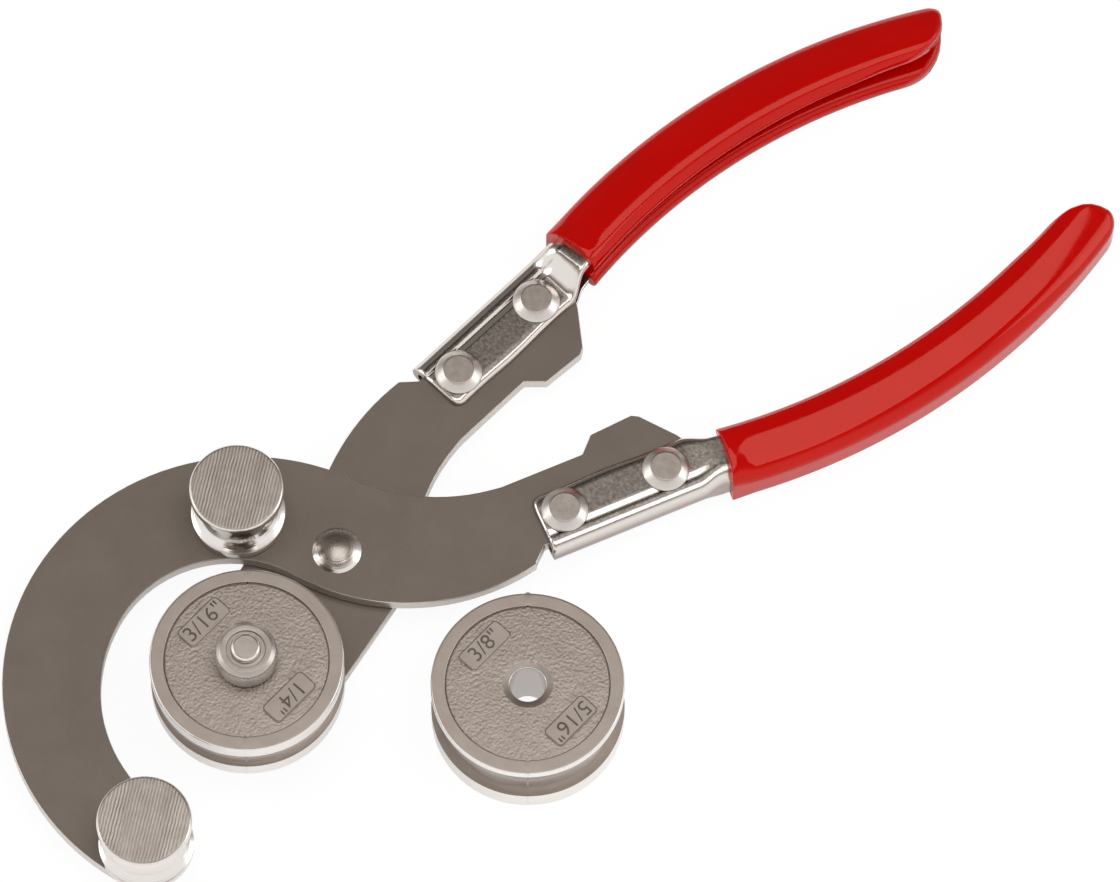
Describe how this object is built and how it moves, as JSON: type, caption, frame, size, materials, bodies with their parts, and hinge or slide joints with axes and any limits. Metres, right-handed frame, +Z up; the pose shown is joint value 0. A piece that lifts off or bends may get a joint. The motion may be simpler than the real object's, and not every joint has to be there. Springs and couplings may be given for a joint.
{
  "type": "tube bender",
  "caption": "Plier-type bender for small metal tube: a hook jaw with grooved rollers, a round forming disc on a hinged arm, dipped grips and a loose spare forming disc",
  "frame": {"origin": "on the pivot axis, at the level of the table that the tool lies on", "axes": "+Z up along the pivot axis, +X to the right in the picture with the handles towards +X, +Y away from the viewer"},
  "size_m": [0.2208, 0.1891, 0.0297],
  "materials": {
    "plate_steel": "phosphated sheet steel, matt warm grey",
    "handle_steel": "zinc-plated folded sheet steel",
    "rivet_steel": "plated steel with a dull flat top",
    "turned_steel": "bright turned steel",
    "cast_zinc": "die-cast zinc alloy, smooth rim and grained face",
    "grip_vinyl": "glossy red dipped vinyl"
  },
  "bodies": {
    "hook_arm": {"hook_plate": "plate_steel", "hook_channel": "handle_steel", "hook_grip": "grip_vinyl", "hook_rivet_front": "rivet_steel", "hook_rivet_rear": "rivet_steel", "pivot_rivet": "turned_steel", "pivot_washer": "rivet_steel"},
    "die_arm": {"die_plate": "plate_steel", "die_channel": "handle_steel", "die_grip": "grip_vinyl", "die_rivet_front": "rivet_steel", "die_rivet_rear": "rivet_steel", "disc_stud": "turned_steel"},
    "upper_roller_set": {"upper_roller": "turned_steel", "upper_roller_pin": "turned_steel"},
    "lower_roller_set": {"lower_roller": "turned_steel", "lower_roller_pin": "turned_steel"},
    "mounted_disc": {"forming_disc": "cast_zinc"},
    "clamp_nut": {"disc_nut": "turned_steel"},
    "loose_disc": {"spare_disc": "cast_zinc"}
  },
  "joints": [
    {"name": "handle_pivot", "type": "hinge", "parent": "hook_arm", "child": "die_arm", "pos_m": [0, 0, 0], "axis": [0, 0, 1], "range_deg": [-12, 30]},
    {"name": "upper_roller_spin", "type": "hinge", "parent": "hook_arm", "child": "upper_roller_set", "pos_m": [-0.01952, 0.00756, 0.016], "axis": [0, 0, 1], "continuous": true},
    {"name": "lower_roller_spin", "type": "hinge", "parent": "hook_arm", "child": "lower_roller_set", "pos_m": [-0.03654, -0.06216, 0.016], "axis": [0, 0, 1], "continuous": true},
    {"name": "disc_spin", "type": "hinge", "parent": "die_arm", "child": "mounted_disc", "pos_m": [-0.0171, -0.02834, 0.0164], "axis": [0, 0, 1], "continuous": true},
    {"name": "nut_turn", "type": "hinge", "parent": "die_arm", "child": "clamp_nut", "pos_m": [-0.0171, -0.02834, 0.0255], "axis": [0, 0, 1], "continuous": true},
    {"name": "spare_disc_lift", "type": "slide", "parent": "hook_arm", "child": "loose_disc", "axis": [0, 0, 1], "range_m": [0, 0.04]}
  ]
}
